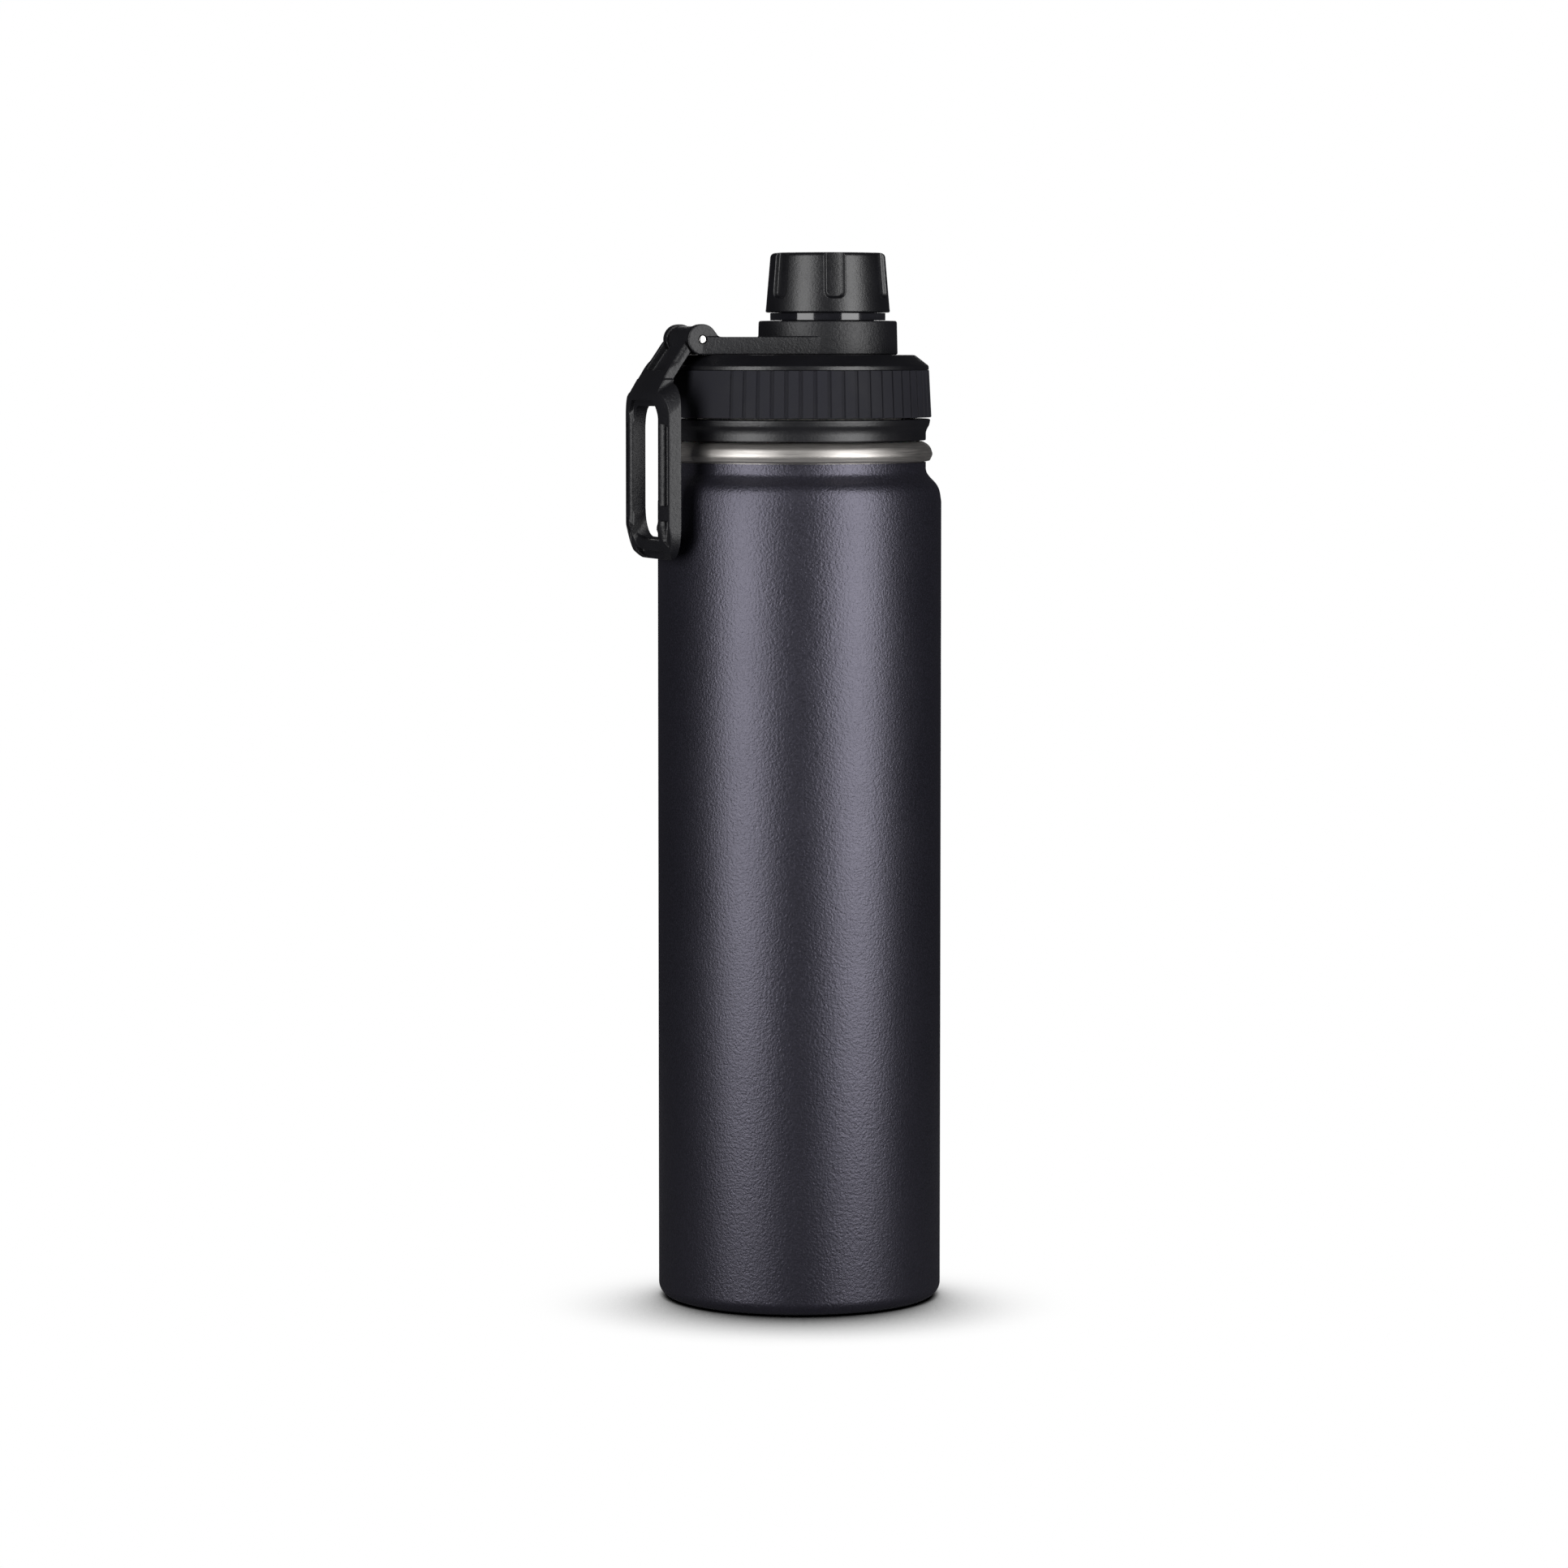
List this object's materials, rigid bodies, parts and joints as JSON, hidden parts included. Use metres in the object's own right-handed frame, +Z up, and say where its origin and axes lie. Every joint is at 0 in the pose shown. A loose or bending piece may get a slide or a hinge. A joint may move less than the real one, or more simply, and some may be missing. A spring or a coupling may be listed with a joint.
{
  "type": "insulated water bottle",
  "caption": "Double-walled steel bottle, waisted neck, screw-in lid with ribbed band, capped off-centre spout and a folding carry handle that swivels round it.",
  "frame": {"origin": "centre of the flat base that the bottle stands on", "axes": "+Z up along the bottle's axis, +X towards the spout's side, the carry handle hangs on the -X side"},
  "size_m": [0.0799, 0.073, 0.2695],
  "materials": {
    "powder_coat": "fine-grained satin powder coat, blue-black",
    "steel": "satin stainless steel with turning lines",
    "pin_steel": "polished steel",
    "getter_metal": "sintered grey metal",
    "seal_glass": "dark solder glass",
    "satin_black": "fine-textured satin black moulding",
    "gloss_black": "polished black moulding",
    "band_rubber": "matte soft-touch rubber",
    "inner_plastic": "food-grade black polypropylene",
    "foam": "closed-cell foam",
    "silicone": "translucent grey silicone"
  },
  "bodies": {
    "bottle": {"outer_shell": "powder_coat", "base_cover": "powder_coat", "outer_base": "steel", "vacuum_seal_plug": "seal_glass", "inner_base": "steel", "inner_shell": "steel", "getter": "getter_metal", "getter_clip": "steel"},
    "lid_seal": {"lid_gasket": "silicone"},
    "lid": {"lid_base_ring": "satin_black", "grip_band": "band_rubber", "lid_cover": "satin_black", "lid_core": "inner_plastic", "lid_insulation": "foam", "lid_bottom_plate": "inner_plastic", "spout": "inner_plastic", "spout_seal_ring": "silicone", "collar_retainer": "gloss_black"},
    "cap_seal": {"spout_cap_gasket": "silicone"},
    "cap": {"spout_cap": "satin_black", "spout_cap_insert": "inner_plastic"},
    "swivel": {"swivel_arm": "satin_black", "hinge_pin": "pin_steel"},
    "handle": {"carry_handle": "satin_black"}
  },
  "joints": [
    {"name": "lid_lift", "type": "slide", "parent": "bottle", "child": "lid_seal", "axis": [0, 0, 1], "range_m": [0, 0.0241]},
    {"name": "lid_turn", "type": "hinge", "parent": "lid_seal", "child": "lid", "pos_m": [0, 0, 0.2215], "axis": [0, 0, 1], "range_deg": [0, 1080]},
    {"name": "cap_lift", "type": "slide", "parent": "lid", "child": "cap_seal", "axis": [0, 0, 1], "range_m": [0, 0.0151]},
    {"name": "cap_turn", "type": "hinge", "parent": "cap_seal", "child": "cap", "pos_m": [0.00772, 0, 0.2542], "axis": [0, 0, 1], "range_deg": [0, 900]},
    {"name": "handle_swivel", "type": "hinge", "parent": "lid", "child": "swivel", "pos_m": [0.00772, 0, 0.2439], "axis": [0, 0, 1], "continuous": true},
    {"name": "handle_fold", "type": "hinge", "parent": "swivel", "child": "handle", "pos_m": [-0.0298, 0, 0.2473], "axis": [0, 1, 0], "range_deg": [0, 170]}
  ],
  "couplings": [
    {"joint": "lid_lift", "follows": "lid_turn", "m_per_rad": 0.0012732},
    {"joint": "cap_lift", "follows": "cap_turn", "m_per_rad": 0.00095493}
  ]
}
